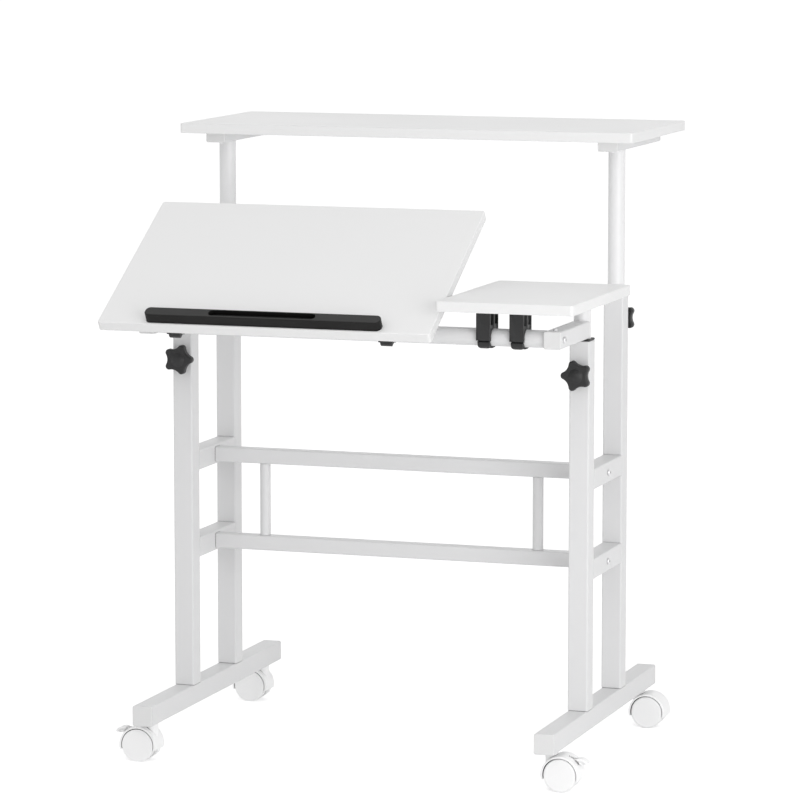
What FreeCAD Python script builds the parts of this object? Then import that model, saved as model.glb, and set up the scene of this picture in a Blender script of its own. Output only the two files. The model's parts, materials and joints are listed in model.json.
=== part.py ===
import FreeCAD, Part
import math
import os
import re

import Sketcher
from FreeCAD import Placement, Rotation, Vector

# Rolling sit-stand desk: a caster base of square tube, sliding round posts, a tilting board with a
# stop bar, a fixed side shelf and a monitor shelf. Millimetres, +Z up, front at -Y.

document = FreeCAD.newDocument("RollingDesk")
sheet = document.addObject("Spreadsheet::Sheet", "Sizes")
pieces = []


# Driving sizes
SIZES = {
    # square tube of the side frames
    "tube_size": 30,
    "tube_wall": 1.5,
    "tube_corner": 2.5,
    "tube_end_ease": 0.7,
    "foot_length": 545,
    "foot_front": -265.5,
    "foot_pitch": 609,
    "cap_flange": 3,
    "cap_plug": 14,
    "short_plug": 5,
    "front_leg_setback": 168.5,
    "leg_pitch": 177.5,
    "front_leg_length": 538,
    "rear_leg_length": 589,
    "upper_rung_height": 422.5,
    "lower_rung_height": 291.5,
    # cross bars and struts
    "cross_bar_size": 22,
    "end_plate": 3,
    "strut_diameter": 16,
    "strut_pitch": 426,
    "bolt_diameter": 8,
    "bolt_head": 11,
    "bolt_head_height": 3.5,
    "bolt_head_crown": 7.5,
    "bolt_grip": 8,
    # sliding posts and their guides
    "post_diameter": 25,
    "post_wall": 1.5,
    "bushing_flange": 3,
    "bushing_depth": 35,
    "guide_height": 20,
    "front_post_bottom": 154.5,
    "rear_post_bottom": 264.5,
    "post_cap_flange": 3,
    # pivot tube and the side bars that carry it
    "pivot_diameter": 25,
    "pivot_reach": 135.5,
    "desk_lift": 0.5,
    "side_bar_size": 25,
    "side_bar_nose": 17,
    "side_bar_weld": 4,
    "set_screw_diameter": 5,
    "set_screw_head": 7,
    "set_screw_head_height": 3,
    "set_screw_head_crown": 4.5,
    # boards
    "board_thickness": 15,
    "board_corner": 4,
    "board_edge": 1.2,
    "board_width": 500,
    "board_depth": 300,
    "board_overhang": 74,
    "board_gap": 2,
    "side_shelf_width": 200,
    "monitor_width": 700,
    "monitor_depth": 300,
    "monitor_height": 916.5,
    "monitor_reach": 81,
    "bracket_width": 30,
    "bracket_height": 15,
    "bracket_length": 240,
    "bracket_setback": 30,
    "bracket_screw_inset": 24,
    "bracket_screw_diameter": 5,
    "bracket_screw_head": 9,
    "bracket_screw_head_height": 3,
    "bracket_screw_head_crown": 5.5,
    "tilt_angle": 30.5,
    # stop bar on the tilting board
    "stop_length": 354,
    "stop_depth": 18,
    "stop_height": 15,
    "stop_setback": 3,
    "stop_round": 1.5,
    "slot_length": 161,
    "slot_width": 13,
    "slot_depth": 8,
    # clips that hold the boards on the pivot tube
    "clip_width": 20.5,
    "clip_depth": 40,
    "clip_front": 18,
    "clip_height": 41.5,
    "clip_edge": 2.2,
    "clip_skirt": 3.5,
    "clip_step": 2,
    "clip_lip": 15.5,
    "clip_lip_round": 6,
    "clip_tip": 9,
    "clip_mouth": 7,
    "clip_rib": 8,
    "clip_web": 12,
    "clip_pocket_depth": 12,
    "clip_pocket_height": 20,
    "clip_roof": 3.6,
    "clip_screw_spread": 20,
    "clip_screw_grip": 10,
    "clip_screw_diameter": 4,
    "clip_screw_head": 8,
    "clip_screw_head_height": 2.4,
    "clip_screw_head_crown": 5,
    "screw_bite": 10,
    "tilt_clip_clearance": 17,
    "tilt_clip_pitch": 322,
    "shelf_clip_clearance": 29,
    "shelf_clip_pitch": 49,
    # star knobs
    "front_knob_drop": 48,
    "rear_knob_drop": 40,
    "left_knob_turn": 0,
    "right_knob_turn": 36,
    "knob_lobe_ring": 17.2,
    "knob_lobe": 5.2,
    "knob_valley": 15,
    "knob_thickness": 12,
    "knob_round": 2.5,
    "knob_dome": 21,
    "knob_dome_rise": 4,
    "knob_hub": 18,
    "knob_hub_length": 3,
    "knob_screw": 8,
    "knob_boss": 16,
    "knob_boss_height": 5,
    # casters
    "wheel_diameter": 48,
    "wheel_width": 13.5,
    "wheel_round": 3,
    "wheel_gap": 1.2,
    "caster_trail": 16.5,
    "caster_web": 10,
    "web_gap": 0.5,
    "hood_wall": 2.8,
    "hood_round": 2,
    "hood_clearance": 5.5,
    "hood_skirt": 6,
    "web_rise": 12,
    "web_reach": 9,
    "stem_diameter": 7,
    "stem_thread": 10,
    "stem_boss": 18,
    "stem_depth": 18,
    "socket_height": 14,
    "axle_diameter": 5,
    "axle_bite": 10,
    "caster_inset": 40,
    "left_caster_yaw": 0,
    "right_caster_yaw": 180,
    "brake_width": 16,
    "brake_curve": 14,
    "brake_thickness": 3.5,
    "brake_round": 0.8,
    "brake_tip_angle": 30,
    "brake_sweep": 80,
    "brake_curve_reach": 14.5,
    "brake_curve_drop": 10.5,
    "brake_tail": 14,
    "brake_tail_width": 6,
    "brake_tail_height": 5,
    "brake_heel": 2,
    "brake_heel_room": 1.5,
    "brake_drop": 6.5,
    "brake_pin": 2.6,
    "brake_pin_reach": 12,
    "brake_pin_rise": 21,
    # fits
    "running_fit": 0.1,
    "free_gap": 0.4,
    "swivel_gap": 0.8,
    # how far a cutting tool runs past the face it opens
    "overrun": 2,
}
for row, (alias, value) in enumerate(SIZES.items(), 1):
    sheet.set("A%d" % row, alias)
    sheet.set("B%d" % row, str(value))
    sheet.setAlias("B%d" % row, alias)
document.recompute()


# Expressions tied to the sheet
def tied(text):
    """Point every size named in an expression at its cell."""
    def cell(word):
        return "Sizes." + word.group() if word.group() in SIZES else word.group()
    return re.sub(r"[a-z_]+", cell, text)


def number(text):
    """The present value of an expression of sizes."""
    return float(sheet.evalExpression(tied(text)))


def bind(item, **expressions):
    """Tie an object's properties to expressions of sizes."""
    for name, text in expressions.items():
        item.setExpression(name, tied(text))
    return item


def put(item, x="0", y="0", z="0"):
    """Tie an object's place to expressions of sizes."""
    for axis, text in (("x", x), ("y", y), ("z", z)):
        item.setExpression("Placement.Base." + axis, tied(text))
    return item


def turned(item, axis, angle):
    """Turn an object about an axis through its own origin by a size in degrees."""
    item.Placement = Placement(Vector(), Rotation(axis, number(angle)))
    item.setExpression("Placement.Rotation.Angle", tied(angle))
    return item


def piece(item, label):
    """Name a finished piece and list it for writing."""
    item.Label = label
    pieces.append(item)
    return item


SIDES = (("left", "-1"), ("right", "1"))
FOOT_UNDER = "(wheel_diameter + wheel_gap + hood_wall + hood_clearance)"
FOOT_TOP = "(%s + tube_size)" % FOOT_UNDER
FRONT_CASTER_Y = "(foot_front + caster_inset)"
REAR_CASTER_Y = "(foot_front + foot_length - caster_inset)"
FRONT_LEG_Y = "(foot_front + front_leg_setback + tube_size / 2)"
REAR_LEG_Y = "(%s + leg_pitch)" % FRONT_LEG_Y
# each pair of legs, with the sign of Y that its knobs face
LEG_PAIRS = (("front", FRONT_LEG_Y, "-1"), ("rear", REAR_LEG_Y, "1"))
RUNG_Y = "(%s + leg_pitch / 2)" % FRONT_LEG_Y
TUBE_BORE = "(tube_size - 2 * tube_wall)"
PIVOT_Y = "(%s - pivot_reach)" % FRONT_LEG_Y
PIVOT_Z = "(%s + front_leg_length + bushing_flange + desk_lift + side_bar_size / 2)" % FOOT_TOP
SIDE_BAR_FACE = "((foot_pitch - side_bar_size) / 2)"
BOARD_UNDER = "(%s + clip_height)" % PIVOT_Z
DESK_WIDTH = "(board_width + board_gap + side_shelf_width)"
BOARD_X = "(board_width / 2 - %s / 2)" % DESK_WIDTH
SHELF_X = "(%s / 2 - side_shelf_width / 2)" % DESK_WIDTH
MONITOR_FRONT = "(%s - monitor_reach)" % REAR_LEG_Y
MONITOR_UNDER = "(monitor_height - board_thickness)"
BRACKET_Z = "(%s - bracket_height / 2)" % MONITOR_UNDER
BRACKET_Y = "(%s + bracket_setback + bracket_length / 2)" % MONITOR_FRONT
CLIP_MIDDLE = "(clip_depth / 2 - clip_front)"
CLIP_SEAT = "(clip_height - clip_screw_grip)"
CLIP_SCREW_Y = ["%s + %s * clip_screw_spread / 2" % (CLIP_MIDDLE, sign) for side, sign in SIDES]
WHEEL_Z = "(wheel_diameter / 2)"
BRAKE_PIN_X = "(-caster_trail - brake_pin_reach)"
BRAKE_PIN_Z = "(%s + brake_pin_rise)" % WHEEL_Z
TURNS = {"X": Rotation(Vector(0, 1, 0), 90), "Y": Rotation(Vector(1, 0, 0), -90), "Z": Rotation()}
UP = Vector(0, 0, 1)
# edge numbers of a cylinder's rims, and of a box's edges along Y and Z and under its front and its sides
RIMS = (1, 3)
ALONG_Y = (2, 4, 6, 8)
ALONG_Z = (1, 3, 5, 7)
FRONT_UNDER = 9
SIDES_UNDER = (4, 8)


# Solids to build with
def block(x_size, y_size, z_size, x="0", y="0", z="0"):
    """A box around the point x, y, z."""
    item = bind(document.addObject("Part::Box", "Block"), Length=x_size, Width=y_size, Height=z_size)
    corner = ["%s - (%s) / 2" % pair for pair in ((x, x_size), (y, y_size), (z, z_size))]
    return put(item, *corner)


def rod(diameter, length, axis, x="0", y="0", z="0"):
    """A cylinder along an axis, around the point x, y, z."""
    item = bind(document.addObject("Part::Cylinder", "Rod"), Radius="(%s) / 2" % diameter, Height=length)
    item.Placement = Placement(Vector(), TURNS[axis])
    middle = {"X": x, "Y": y, "Z": z}
    middle[axis] = "%s - (%s) / 2" % (middle[axis], length)
    return put(item, middle["X"], middle["Y"], middle["Z"])


def screw_head(name, direction, x, y, z):
    """A low tapered head of a named screw that stands on x, y, z and points along a direction."""
    item = document.addObject("Part::Cone", "Head")
    bind(item, Radius1=name + "_head / 2", Radius2=name + "_head_crown / 2", Height=name + "_head_height")
    item.Placement = Placement(Vector(), Rotation(UP, direction))
    return put(item, x, y, z)


def fused(*items):
    """One solid from several."""
    item = document.addObject("Part::MultiFuse", "Fused")
    item.Shapes = list(items)
    item.Refine = True
    return item


def cut(base, *tools):
    """A solid with others taken out of it."""
    item = document.addObject("Part::Cut", "Cut")
    item.Base = base
    item.Tool = tools[0] if len(tools) == 1 else group(*tools)
    return item


def group(*items):
    """Separate solids kept together."""
    item = document.addObject("Part::Compound", "Group")
    item.Links = list(items)
    return item


def rounded(base, radius, *edges):
    """Round the numbered edges of a solid."""
    return rounded_each(base, {edge: radius for edge in edges})


def rounded_each(base, radii):
    """Round every numbered edge of a solid by its own radius."""
    item = document.addObject("Part::Fillet", "Rounded")
    item.Base = base
    item.Edges = [(edge, number(radius), number(radius)) for edge, radius in radii.items()]
    return item


def rounded_outline(sketch, width, height, corner):
    """Draw a rectangle with round corners about the sketch's origin, tied to its three sizes."""
    half_width = number(width) / 2
    half_height = number(height) / 2
    radius = number(corner)
    inner_x = half_width - radius
    inner_y = half_height - radius
    lines = [((-inner_x, -half_height), (inner_x, -half_height)),
             ((half_width, -inner_y), (half_width, inner_y)),
             ((inner_x, half_height), (-inner_x, half_height)),
             ((-half_width, inner_y), (-half_width, -inner_y))]
    centres = [(inner_x, -inner_y), (inner_x, inner_y), (-inner_x, inner_y), (-inner_x, -inner_y)]
    first = sketch.GeometryCount
    for side, (line, centre) in enumerate(zip(lines, centres)):
        start = (side - 1) * math.pi / 2
        sketch.addGeometry(Part.LineSegment(Vector(*line[0]), Vector(*line[1])))
        circle = Part.Circle(Vector(*centre), UP, radius)
        sketch.addGeometry(Part.ArcOfCircle(circle, start, start + math.pi / 2))
    for step in range(8):
        sketch.addConstraint(Sketcher.Constraint("Tangent", first + step, 2, first + (step + 1) % 8, 1))
    for step, kind in ((0, "Horizontal"), (2, "Vertical"), (4, "Horizontal"), (6, "Vertical")):
        sketch.addConstraint(Sketcher.Constraint(kind, first + step))
    for step in (3, 5, 7):
        sketch.addConstraint(Sketcher.Constraint("Equal", first + 1, first + step))
    sketch.addConstraint(Sketcher.Constraint("Symmetric", first + 1, 3, first + 5, 3, -1, 1))
    datums = ((Sketcher.Constraint("Radius", first + 1, radius), corner),
              (Sketcher.Constraint("DistanceX", first + 6, 1, first + 2, 1, 2 * half_width), width),
              (Sketcher.Constraint("DistanceY", first, 1, first + 4, 1, 2 * half_height), height))
    for constraint, text in datums:
        sketch.setExpression("Constraints[%d]" % sketch.addConstraint(constraint), tied(text))


def new_sketch(body, axis):
    """A sketch on the body's origin plane that is square to an axis."""
    role = {"X": "YZ_Plane", "Y": "XZ_Plane", "Z": "XY_Plane"}[axis]
    plane = [feature for feature in body.Origin.OriginFeatures if feature.Role == role][0]
    sketch = body.newObject("Sketcher::SketchObject", "Outline")
    sketch.AttachmentSupport = (plane, [""])
    sketch.MapMode = "FlatFace"
    return sketch


def extruded(axis, length, *outlines):
    """A body with rounded rectangles as outlines, the second one its bore, centred on its origin."""
    body = document.addObject("PartDesign::Body", "Extruded")
    sketch = new_sketch(body, axis)
    for outline in outlines:
        rounded_outline(sketch, *outline)
    pad = body.newObject("PartDesign::Pad", "Pad")
    pad.Profile = sketch
    pad.SideType = "Symmetric"
    bind(pad, Length=length)
    return body


def eased_ends(body):
    """Break the outer rims of a body's two ends."""
    document.recompute()
    pad = body.Tip
    along = pad.Profile[0].getGlobalPlacement().Rotation.multVec(UP)
    rims = [edge for face in pad.Shape.Faces if abs(face.normalAt(0, 0).dot(along)) > 0.99
            for edge in face.OuterWire.Edges]
    names = ["Edge%d" % (place + 1) for place, edge in enumerate(pad.Shape.Edges)
             if any(edge.isSame(rim) for rim in rims)]
    ease = body.newObject("PartDesign::Chamfer", "EasedEnds")
    ease.Base = (pad, names)
    bind(ease, Size="tube_end_ease")
    return body


def rectangular_tube(axis, length, width, height):
    """A tube with the frame's wall and corners, and its ends' outer rims broken."""
    inside = ("%s - 2 * tube_wall" % width, "%s - 2 * tube_wall" % height, "tube_corner - tube_wall")
    return eased_ends(extruded(axis, length, (width, height, "tube_corner"), inside))


def round_tube(diameter, wall, length, axis, x, y, z):
    """A round tube around the point x, y, z."""
    bore = "(%s - 2 * %s)" % (diameter, wall)
    outside = rounded(rod(diameter, length, axis, x, y, z), "tube_end_ease", *RIMS)
    return cut(outside, rod(bore, length + " + overrun", axis, x, y, z))


def board(width, depth):
    """A board lying flat with round corners and eased edges, centred on its origin."""
    body = extruded("Z", "board_thickness", (width, depth, "board_corner"))
    document.recompute()
    pad = body.Tip
    flats = ["Face%d" % (place + 1) for place, face in enumerate(pad.Shape.Faces)
             if abs(face.normalAt(0, 0).z) > 0.99]
    edges = body.newObject("PartDesign::Fillet", "EasedEdges")
    edges.Base = (pad, flats)
    bind(edges, Radius="board_edge")
    return body


def tube_cap(width, height, plug_length, outward, x, y, z):
    """A plug with a flange that closes a tube's end, outward being the sign of Y that it faces."""
    flange = eased_ends(extruded("Y", "cap_flange", (width, height, "tube_corner")))
    put(flange, x, "%s + %s * cap_flange / 2" % (y, outward), z)
    plug_width, plug_height = ["%s - 2 * tube_wall - 2 * running_fit" % side for side in (width, height)]
    plug = block(plug_width, plug_length, plug_height, x, "%s - %s * %s / 2" % (y, outward, plug_length), z)
    edges = rounded(plug, "tube_corner - tube_wall", *ALONG_Y)
    return fused(flange, edges)


# Base
def feet():
    """Two foot tubes with welded caster sockets inside, their end caps, and the caster stems."""
    caps = []
    stems = []
    length = "(foot_length - 2 * cap_flange)"
    middle_y = "(foot_front + foot_length / 2)"
    middle_z = "(%s - tube_size / 2)" % FOOT_TOP
    caster_places = (FRONT_CASTER_Y, REAR_CASTER_Y)
    for side, sign in SIDES:
        x = "%s * foot_pitch / 2" % sign
        tube = put(rectangular_tube("Y", length, "tube_size", "tube_size"), x, middle_y, middle_z)
        holes = [rod("stem_thread", "2 * (tube_wall + socket_height + overrun)", "Z", x, y, FOOT_UNDER)
                 for y in caster_places]
        sockets = [caster_socket(x, y) for y in caster_places]
        piece(cut(fused(tube, *sockets), *holes), side + "_foot")
        for outward in ("-1", "1"):
            end = "(%s + %s * %s / 2)" % (middle_y, outward, length)
            caps.append(tube_cap("tube_size", "tube_size", "short_plug", outward, x, end, middle_z))
        stems += [caster_stem(x, y) for y in caster_places]
    piece(group(*caps), "foot_end_caps")
    piece(group(*stems), "caster_stems")


def caster_socket(x, y):
    """A block on the foot's floor that a caster stem is threaded into."""
    width = "(%s - 2 * tube_wall)" % TUBE_BORE
    return block(width, width, "socket_height", x, y,
                 "%s + tube_wall + socket_height / 2" % FOOT_UNDER)


def caster_stem(x, y):
    """A stem with a thread in the socket and a slimmer journal in the caster's hood."""
    thread_length = "(tube_wall + socket_height)"
    thread = rod("stem_thread", thread_length, "Z", x, y, "%s + %s / 2" % (FOOT_UNDER, thread_length))
    journal = rod("stem_diameter", "stem_depth", "Z", x, y, "%s - stem_depth / 2" % FOOT_UNDER)
    return fused(thread, journal)


def leg_top(place):
    """The height of a leg's upper end."""
    return "(%s + %s_leg_length)" % (FOOT_TOP, place)


def knob_height(place):
    """The height of a clamp screw's axis."""
    return "(%s - %s_knob_drop)" % (leg_top(place), place)


def leg(side, sign, place, y, outward):
    """A leg tube with the hole for its clamp screw; outward is the sign of Y that the knob faces."""
    x = "%s * foot_pitch / 2" % sign
    length = place + "_leg_length"
    tube = rectangular_tube("Z", length, "tube_size", "tube_size")
    put(tube, x, y, "%s - %s / 2" % (leg_top(place), length))
    face = "%s + %s * (tube_size - tube_wall) / 2" % (y, outward)
    hole = rod("knob_screw + 2 * free_gap", "tube_wall * 2", "Y", x, face, knob_height(place))
    piece(cut(tube, hole), "%s_%s_leg" % (side, place))


def knob_boss(sign, place, y, outward):
    """A threaded boss welded to the leg's face under a knob."""
    x = "%s * foot_pitch / 2" % sign
    height = knob_height(place)
    middle = "%s + %s * (tube_size + knob_boss_height) / 2" % (y, outward)
    hole = rod("knob_screw + 2 * running_fit", "knob_boss_height + overrun", "Y", x, middle, height)
    return cut(rod("knob_boss", "knob_boss_height", "Y", x, middle, height), hole)


def bushing(sign, place, y):
    """A plastic sleeve with a flange on the leg's top, bored for the round post."""
    x = "%s * foot_pitch / 2" % sign
    top = leg_top(place)
    sleeve_size = "(%s - 2 * running_fit)" % TUBE_BORE
    flange = eased_ends(extruded("Z", "bushing_flange", ("tube_size", "tube_size", "tube_corner")))
    put(flange, x, y, "%s + bushing_flange / 2" % top)
    sleeve = rounded(block(sleeve_size, sleeve_size, "bushing_depth", x, y, "%s - bushing_depth / 2" % top),
                     "tube_corner - tube_wall", *ALONG_Z)
    bore_length = "2 * (bushing_depth + bushing_flange + overrun)"
    bore = rod("post_diameter + 2 * running_fit", bore_length, "Z", x, y, top)
    return cut(fused(flange, sleeve), bore)


def legs():
    """Four legs with their bushings and clamp bosses."""
    bosses = []
    for place, y, outward in LEG_PAIRS:
        bushings = []
        for side, sign in SIDES:
            leg(side, sign, place, y, outward)
            bushings.append(bushing(sign, place, y))
            bosses.append(knob_boss(sign, place, y, outward))
        piece(group(*bushings), place + "_leg_bushings")
    piece(group(*bosses), "knob_bosses")


def rungs_and_cross_bars():
    """Side rungs between the legs, and the cross bars that are bolted through them."""
    bolts = []
    bar_length = "(foot_pitch - tube_size)"
    bar_bore = "(cross_bar_size - 2 * tube_wall)"
    for place, height in (("upper", "upper_rung_height"), ("lower", "lower_rung_height")):
        for side, sign in SIDES:
            x = "%s * foot_pitch / 2" % sign
            tube = rectangular_tube("Y", "leg_pitch - tube_size", "tube_size", "tube_size")
            put(tube, x, RUNG_Y, height)
            hole = rod("bolt_diameter + 2 * running_fit", "tube_size + overrun", "X", x, RUNG_Y, height)
            piece(cut(tube, hole), "%s_%s_rung" % (side, place))
            bolts.append(through_bolt(sign, "%s * (foot_pitch + tube_size) / 2" % sign,
                                      "(tube_size + bolt_grip)", RUNG_Y, height))
        tube = rectangular_tube("X", bar_length, "cross_bar_size", "cross_bar_size")
        put(tube, "0", RUNG_Y, height)
        ends = ["%s * (%s - end_plate) / 2" % (sign, bar_length) for side, sign in SIDES]
        plates = [block("end_plate", bar_bore, bar_bore, end, RUNG_Y, height) for end in ends]
        hole = rod("bolt_diameter + 2 * running_fit", bar_length + " + overrun", "X", "0", RUNG_Y, height)
        piece(cut(fused(tube, *plates), hole), place + "_cross_bar")
    piece(group(*bolts), "cross_bar_bolts")
    strut_length = "(upper_rung_height - lower_rung_height - cross_bar_size)"
    middle_z = "(upper_rung_height + lower_rung_height) / 2"
    for side, sign in SIDES:
        x = "%s * strut_pitch / 2" % sign
        strut = round_tube("strut_diameter", "tube_wall", strut_length, "Z", x, RUNG_Y, middle_z)
        piece(strut, side + "_strut")


def through_bolt(sign, face_x, grip, y, z):
    """A bolt along X whose head stands on an outer face, grip being how far it reaches in."""
    head = screw_head("bolt", Vector(float(sign), 0, 0), face_x, y, z)
    shank = rod("bolt_diameter", grip, "X", "%s - %s * %s / 2" % (face_x, sign, grip), y, z)
    return fused(head, shank)


# Sliding posts
def post(label, sign, y, bottom, top):
    """A round post between two heights."""
    x = "%s * foot_pitch / 2" % sign
    length = "(%s - %s)" % (top, bottom)
    middle = "(%s + %s) / 2" % (top, bottom)
    piece(round_tube("post_diameter", "post_wall", length, "Z", x, y, middle), label)


def post_plug(sign, y, end, flange, outward):
    """A round spigot in a post's end with a flange solid beyond it; outward is the sign of Z."""
    x = "%s * foot_pitch / 2" % sign
    middle = "%s - %s * cap_plug / 2" % (end, outward)
    spigot = rod("post_diameter - 2 * post_wall", "cap_plug", "Z", x, y, middle)
    return fused(flange, spigot)


def post_guides(label, y, bottom):
    """Square plastic guides on the posts' lower ends that run inside the legs."""
    guides = []
    width = "(%s - 2 * free_gap)" % TUBE_BORE
    for side, sign in SIDES:
        x = "%s * foot_pitch / 2" % sign
        shoe = rounded(block(width, width, "guide_height", x, y, "%s - guide_height / 2" % bottom),
                       "tube_corner - tube_wall", *ALONG_Z)
        guides.append(post_plug(sign, y, bottom, shoe, "-1"))
    piece(group(*guides), label)


# Desk carriage
def desk_posts():
    """Front posts, their guides and the caps that the boards come down on."""
    top = "(%s - post_cap_flange)" % BOARD_UNDER
    caps = []
    for side, sign in SIDES:
        post(side + "_front_post", sign, FRONT_LEG_Y, "front_post_bottom", top)
        flange = rod("post_diameter", "post_cap_flange", "Z", "%s * foot_pitch / 2" % sign, FRONT_LEG_Y,
                     "%s + post_cap_flange / 2" % top)
        caps.append(post_plug(sign, FRONT_LEG_Y, top, flange, "1"))
    piece(group(*caps), "post_caps")
    post_guides("front_post_guides", FRONT_LEG_Y, "front_post_bottom")


def side_bars():
    """Bars welded to the front posts, their end caps, and the pivot tube bolted between them."""
    caps = []
    bolts = []
    screws = []
    front = "(%s - side_bar_nose + cap_flange)" % PIVOT_Y
    rear = "(%s - side_bar_weld)" % FRONT_LEG_Y
    length = "(%s - %s)" % (rear, front)
    through = "side_bar_size + overrun"
    bolt_hole = "bolt_diameter + 2 * running_fit"
    for side, sign in SIDES:
        x = "%s * foot_pitch / 2" % sign
        tube = rectangular_tube("Y", length, "side_bar_size", "side_bar_size")
        put(tube, x, "(%s + %s) / 2" % (front, rear), PIVOT_Z)
        saddle = rod("post_diameter", through, "Z", x, FRONT_LEG_Y, PIVOT_Z)
        bolt_way = rod(bolt_hole, through, "X", x, PIVOT_Y, PIVOT_Z)
        top = "%s + side_bar_size / 2" % PIVOT_Z
        screw_way = rod("set_screw_diameter", "side_bar_size", "Z", x, PIVOT_Y, top)
        piece(cut(tube, saddle, bolt_way, screw_way), side + "_side_bar")
        caps.append(tube_cap("side_bar_size", "side_bar_size", "short_plug", "-1", x, front, PIVOT_Z))
        face = "%s * (foot_pitch + side_bar_size) / 2" % sign
        bolts.append(through_bolt(sign, face, "(side_bar_size + bolt_grip)", PIVOT_Y, PIVOT_Z))
        screws.append(set_screw(x))
    piece(group(*caps), "side_bar_caps")
    piece(group(*bolts), "pivot_tube_bolts")
    piece(group(*screws), "side_bar_screws")
    tube_length = "(foot_pitch - side_bar_size)"
    tube = round_tube("pivot_diameter", "tube_wall", tube_length, "X", "0", PIVOT_Y, PIVOT_Z)
    ends = ["%s * (%s - end_plate) / 2" % (sign, tube_length) for side, sign in SIDES]
    bore = "pivot_diameter - 2 * tube_wall"
    plates = [rod(bore, "end_plate", "X", end, PIVOT_Y, PIVOT_Z) for end in ends]
    hole = rod(bolt_hole, tube_length + " + overrun", "X", "0", PIVOT_Y, PIVOT_Z)
    piece(cut(fused(tube, *plates), hole), "pivot_tube")


def set_screw(x):
    """A screw down through a side bar's top that keeps the pivot tube's bolt from turning."""
    length = "(side_bar_size / 2 - bolt_diameter / 2 - free_gap)"
    top = "(%s + side_bar_size / 2)" % PIVOT_Z
    shank = rod("set_screw_diameter", length, "Z", x, PIVOT_Y, "%s - %s / 2" % (top, length))
    return fused(screw_head("set_screw", UP, x, PIVOT_Y, top), shank)


def clip(x):
    """A clip that hugs the pivot tube, about the tube's axis, with its flat top under a board."""
    through = "clip_width + overrun"
    upper_height = "(clip_height + clip_skirt)"
    upper = block("clip_width", "clip_depth", upper_height, x, CLIP_MIDDLE,
                  "clip_height - %s / 2" % upper_height)
    lip_depth = "(clip_front - clip_step + clip_tip)"
    lip = block("clip_width", lip_depth, "clip_lip", x, "clip_tip - %s / 2" % lip_depth, "-clip_lip / 2")
    lip = rounded_each(lip, {FRONT_UNDER: "clip_lip_round", **dict.fromkeys(SIDES_UNDER, "clip_edge")})
    bore = rod("pivot_diameter + 2 * running_fit", through, "X", x, "0", "0")
    mouth_depth = "(clip_depth - clip_front - clip_tip + overrun)"
    mouth = block(through, mouth_depth, "2 * clip_mouth", x, "clip_tip + %s / 2" % mouth_depth, "0")
    relief = "(clip_width - clip_web) / 2"
    pocket_z = "(clip_height - clip_pocket_height / 2 - clip_roof)"
    hollows = [block(relief, "clip_pocket_depth", "clip_pocket_height",
                     "%s + %s * (clip_width - %s) / 2" % (x, side, relief),
                     "%s + %s * (clip_pocket_depth + clip_rib) / 2" % (CLIP_MIDDLE, end), pocket_z)
               for side in ("-1", "1") for end in ("-1", "1")]
    for y in CLIP_SCREW_Y:
        hollows.append(rod("clip_screw_diameter + 2 * running_fit", "2 * clip_screw_grip", "Z", x, y,
                           "clip_height"))
        hollows.append(rod("clip_screw_head + 2 * free_gap", CLIP_SEAT, "Z", x, y, CLIP_SEAT + " / 2"))
    return cut(fused(upper, lip), bore, mouth, *hollows)


def clip_screws(x):
    """Two screws up through a clip into its board."""
    screws = []
    length = "(clip_screw_grip + screw_bite)"
    for y in CLIP_SCREW_Y:
        shank = rod("clip_screw_diameter", length, "Z", x, y, "%s + %s / 2" % (CLIP_SEAT, length))
        screws.append(fused(screw_head("clip_screw", -UP, x, y, CLIP_SEAT), shank))
    return screws


def clipped_board(width, x, clip_places):
    """A board above the pivot's axis, with pilot holes for the screws of its clips."""
    flat = board(width, "board_depth")
    put(flat, x, "board_depth / 2 - board_overhang", "clip_height + board_thickness / 2")
    holes = [rod("clip_screw_diameter", "2 * screw_bite", "Z", place, y, "clip_height")
             for place in clip_places for y in CLIP_SCREW_Y]
    return cut(flat, *holes)


def side_shelf():
    """The fixed shelf on the right, its clips and their screws, placed on the pivot."""
    right_place = "(%s - shelf_clip_clearance - clip_width / 2)" % SIDE_BAR_FACE
    places = [right_place + " - shelf_clip_pitch", right_place]
    screws = [screw for place in places for screw in clip_screws(place)]
    for item, label in ((clipped_board("side_shelf_width", SHELF_X, places), "side_shelf"),
                        (group(*[clip(place) for place in places]), "shelf_clips"),
                        (group(*screws), "shelf_clip_screws")):
        piece(put(item, "0", PIVOT_Y, PIVOT_Z), label)


# Tilting board
def stop_bar():
    """A rounded bar along the board's front edge with a groove in its top."""
    y = "(stop_setback + stop_depth / 2 - board_overhang)"
    under = "(clip_height + board_thickness)"
    body = extruded("Z", "stop_height", ("stop_length", "stop_depth", "stop_depth / 2 - stop_round"))
    document.recompute()
    pad = body.Tip
    tops = ["Face%d" % (place + 1) for place, face in enumerate(pad.Shape.Faces)
            if face.normalAt(0, 0).z > 0.99]
    edges = body.newObject("PartDesign::Fillet", "RoundTop")
    edges.Base = (pad, tops)
    bind(edges, Radius="stop_round")
    put(body, BOARD_X, y, "%s + stop_height / 2" % under)
    slot = block("slot_length", "slot_width", "2 * slot_depth", BOARD_X, y, "%s + stop_height" % under)
    return cut(body, rounded(slot, "slot_width / 2 - running_fit", *ALONG_Z))


def tilting_board():
    """The board, its stop bar and its clips, built flat about the pivot and then tilted."""
    left_place = "(tilt_clip_clearance + clip_width / 2 - %s)" % SIDE_BAR_FACE
    places = [left_place, left_place + " + tilt_clip_pitch"]
    screws = [screw for place in places for screw in clip_screws(place)]
    for item, label in ((clipped_board("board_width", BOARD_X, places), "desk_board"),
                        (stop_bar(), "stop_bar"),
                        (clip(places[0]), "left_tilt_clip"),
                        (clip(places[1]), "right_tilt_clip"),
                        (group(*screws), "tilt_clip_screws")):
        turned(item, Vector(1, 0, 0), "tilt_angle")
        piece(put(item, "0", PIVOT_Y, PIVOT_Z), label)


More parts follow.
